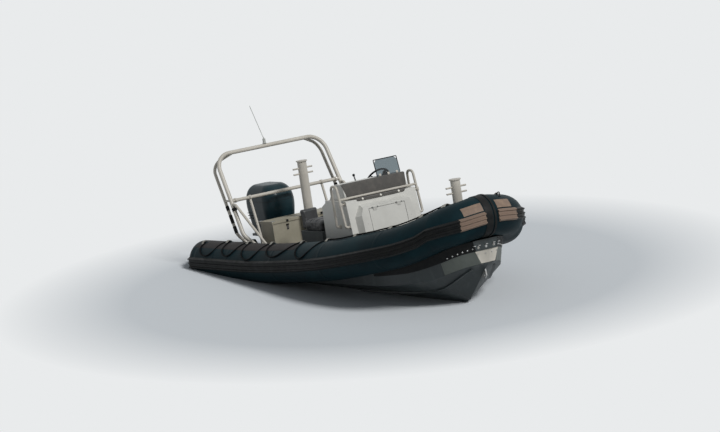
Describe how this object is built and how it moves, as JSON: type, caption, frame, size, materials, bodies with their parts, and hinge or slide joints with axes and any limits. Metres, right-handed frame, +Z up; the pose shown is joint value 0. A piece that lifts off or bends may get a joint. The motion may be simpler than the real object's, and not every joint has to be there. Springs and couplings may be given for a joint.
{
  "type": "rigid inflatable boat",
  "caption": "Deep-V rigid inflatable work boat with a console, jockey seats, raked arch, mooring posts and an outboard engine that tilts and steers.",
  "frame": {"origin": "centre plane at the transom's aft face, at the water line at rest", "axes": "+X forward, +Y to port, +Z up"},
  "size_m": [6.4569, 2.8006, 3.1725],
  "materials": {
    "tube_fabric": "charcoal rubberised fabric, slight sheen",
    "strake_rubber": "moulded black rubber",
    "hull_paint": "satin grey paint on aluminium",
    "pad_rubber": "taupe chafe pad, matt rubber",
    "doubler_paint": "lighter grey paint on the doubler plates",
    "deck_paint": "grey non-slip deck paint",
    "frame_paint": "warm light grey paint",
    "console_paint": "warm light grey paint",
    "locker_paint": "khaki-grey paint",
    "canvas": "dark grey-brown canvas",
    "screen": "tinted acrylic",
    "wheel_rubber": "black rubber rim",
    "black_plastic": "black moulded plastic",
    "seat_vinyl": "black marine vinyl",
    "cowl_paint": "near-black gloss cowl",
    "engine_paint": "black painted aluminium",
    "steel": "stainless steel"
  },
  "bodies": {
    "boat": {"hull_bottom": "hull_paint", "hull_topsides": "hull_paint", "deck": "deck_paint", "bow_deck": "deck_paint", "transom": "hull_paint", "transom_knees": "hull_paint", "tube_aft_starboard": "tube_fabric", "tube_aft_port": "tube_fabric", "tube_fore_starboard": "tube_fabric", "tube_fore_port": "tube_fabric", "nose_bands": "strake_rubber", "chafe_pads": "pad_rubber", "rub_strake_starboard": "strake_rubber", "rub_strake_port": "strake_rubber", "tube_flanges": "strake_rubber", "topside_doublers": "doubler_paint", "spray_rails": "hull_paint", "stem_bracket": "frame_paint", "stem_lugs": "steel", "bow_eye": "steel", "aft_post": "frame_paint", "bow_post": "frame_paint", "arch_hoop": "frame_paint", "arch_rear_legs": "frame_paint", "arch_crossbar": "frame_paint", "arch_stanchions": "frame_paint", "arch_braces": "frame_paint", "arch_ties": "frame_paint", "antenna": "black_plastic", "console_body": "console_paint", "console_locker": "console_paint", "locker_hinges": "steel", "console_cover": "canvas", "console_side_rails": "frame_paint", "console_cross_rail": "frame_paint", "windscreen": "screen", "helm_shaft": "steel", "throttle": "black_plastic", "seat_pods": "deck_paint", "seat_cushions": "seat_vinyl", "seat_backrests": "seat_vinyl", "aft_locker": "locker_paint", "engine_clamp": "engine_paint"},
    "swivel": {"swivel_bracket": "engine_paint"},
    "engine": {"engine_leg": "engine_paint", "engine_cowl": "cowl_paint", "gear_case": "engine_paint"},
    "screw": {"propeller": "steel"},
    "helm": {"steering_wheel": "wheel_rubber"},
    "door": {"locker_door": "console_paint"},
    "lid": {"aft_locker_lid": "locker_paint"}
  },
  "joints": [
    {"name": "engine_tilt", "type": "hinge", "parent": "boat", "child": "swivel", "pos_m": [-0.048, 0, 0.362], "axis": [0, 1, 0], "range_deg": [0, 12]},
    {"name": "engine_steer", "type": "hinge", "parent": "swivel", "child": "engine", "pos_m": [-0.175, 0, 0.2], "axis": [0, 0, 1], "range_deg": [-30, 30]},
    {"name": "propeller_spin", "type": "hinge", "parent": "engine", "child": "screw", "pos_m": [-0.57, 0, -0.655], "axis": [1, 0, 0], "continuous": true},
    {"name": "helm_turn", "type": "hinge", "parent": "boat", "child": "helm", "pos_m": [2.46226, 0.31, 1.2261], "axis": [-0.7657, 0, 0.6432], "range_deg": [-720, 720]},
    {"name": "locker_door_swing", "type": "hinge", "parent": "boat", "child": "door", "pos_m": [3.11723, 0, 0.933], "axis": [0, -1, 0], "range_deg": [0, 100]},
    {"name": "aft_lid_lift", "type": "hinge", "parent": "boat", "child": "lid", "pos_m": [0.416, 0, 0.69], "axis": [0, -1, 0], "range_deg": [0, 60]}
  ],
  "couplings": [
    {"joint": "helm_turn", "follows": "engine_steer", "ratio": -24}
  ]
}
